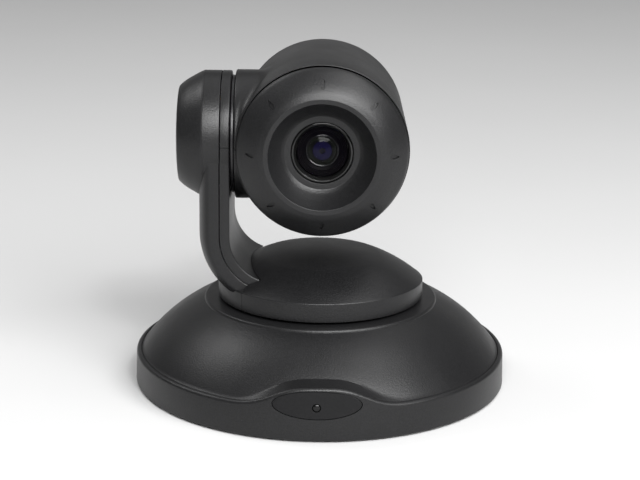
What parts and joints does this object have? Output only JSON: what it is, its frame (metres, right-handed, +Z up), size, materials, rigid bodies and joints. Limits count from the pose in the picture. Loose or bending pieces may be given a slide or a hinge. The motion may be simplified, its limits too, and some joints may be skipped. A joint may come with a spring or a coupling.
{
  "type": "pan-tilt-zoom camera",
  "caption": "Compact conference camera: domed round base, turntable with a side arm, and a drum-shaped head that pans, tilts and zooms.",
  "frame": {"origin": "centre of the case's round footprint, on the table under the rubber feet", "axes": "+Z up along the pan axis; the lens looks along -Y at rest; the arm stands on the -X side"},
  "size_m": [0.19, 0.19, 0.1716],
  "materials": {
    "shell": "fine-grained satin charcoal plastic",
    "dark_trim": "black satin plastic",
    "ir_window": "polished infrared-passing dark plastic",
    "rubber": "soft black rubber",
    "steel": "plain bright steel",
    "zinc_plate": "zinc-plated sheet steel",
    "brass": "machined brass",
    "aluminium": "cast and machined aluminium",
    "circuit_board": "green solder mask",
    "gear_plastic": "natural acetal",
    "lens_glass": "coated optical glass"
  },
  "bodies": {
    "base": {"base_tub": "shell", "base_cover": "shell", "base_plate": "zinc_plate", "tripod_insert": "brass", "case_screw_1": "steel", "case_screw_2": "steel", "case_screw_3": "steel", "case_screw_4": "steel", "rubber_foot_1": "rubber", "rubber_foot_2": "rubber", "rubber_foot_3": "rubber", "rubber_foot_4": "rubber", "ir_window": "ir_window", "status_lamp": "ir_window", "ir_board": "circuit_board", "main_board": "circuit_board", "connector_bay": "dark_trim", "network_jack": "steel", "control_jack": "steel", "usb_jack": "steel", "power_jack": "dark_trim", "pan_frame": "aluminium", "pan_motor": "steel", "pan_bearing_outer_race": "steel"},
    "turntable": {"turntable_cover": "shell", "turntable_plate": "zinc_plate", "pan_gear": "gear_plastic", "pan_shaft": "aluminium", "pan_bearing_inner_race": "steel", "pan_retaining_ring": "steel", "arm_outer_shell": "shell", "arm_inner_cover": "shell", "arm_inner_cap": "shell", "arm_frame": "zinc_plate", "arm_screw_1": "steel", "arm_screw_2": "steel", "tilt_end_cap": "shell", "neck_ring": "dark_trim", "tilt_motor": "steel", "tilt_bearing_outer_race": "steel"},
    "pan_pinion": {"pan_pinion": "brass"},
    "tilt_pinion": {"tilt_pinion": "brass"},
    "head": {"head_upper_shell": "shell", "head_lower_shell": "shell", "front_bezel": "shell", "lens_retainer": "dark_trim", "front_lens": "lens_glass", "lens_block": "dark_trim", "sensor_board": "circuit_board", "video_board": "circuit_board", "tilt_shaft": "aluminium", "tilt_gear": "gear_plastic", "tilt_bearing_inner_race": "steel"},
    "zoom": {"zoom_group": "lens_glass"},
    "focus": {"focus_group": "lens_glass"}
  },
  "joints": [
    {"name": "pan", "type": "hinge", "parent": "base", "child": "turntable", "pos_m": [0, 0, 0.0385], "axis": [0, 0, 1], "range_deg": [-155, 155]},
    {"name": "tilt", "type": "hinge", "parent": "turntable", "child": "head", "pos_m": [0, 0, 0.1289], "axis": [-1, 0, 0], "range_deg": [-30, 90]},
    {"name": "pan_pinion_spin", "type": "hinge", "parent": "base", "child": "pan_pinion", "pos_m": [-0.02546, 0.02546, 0.0385], "axis": [0, 0, 1], "range_deg": [-620.1, 620.1]},
    {"name": "tilt_pinion_spin", "type": "hinge", "parent": "turntable", "child": "tilt_pinion", "pos_m": [-0.0507, 0, 0.1471], "axis": [-1, 0, 0], "range_deg": [-300.1, 100.1]},
    {"name": "zoom", "type": "slide", "parent": "head", "child": "zoom", "axis": [0, 1, 0], "range_m": [-0.005, 0.014]},
    {"name": "focus", "type": "slide", "parent": "head", "child": "focus", "axis": [0, 1, 0], "range_m": [-0.004, 0.01]}
  ],
  "couplings": [
    {"joint": "pan_pinion_spin", "follows": "pan", "ratio": -4},
    {"joint": "tilt_pinion_spin", "follows": "tilt", "ratio": -3.3333}
  ]
}
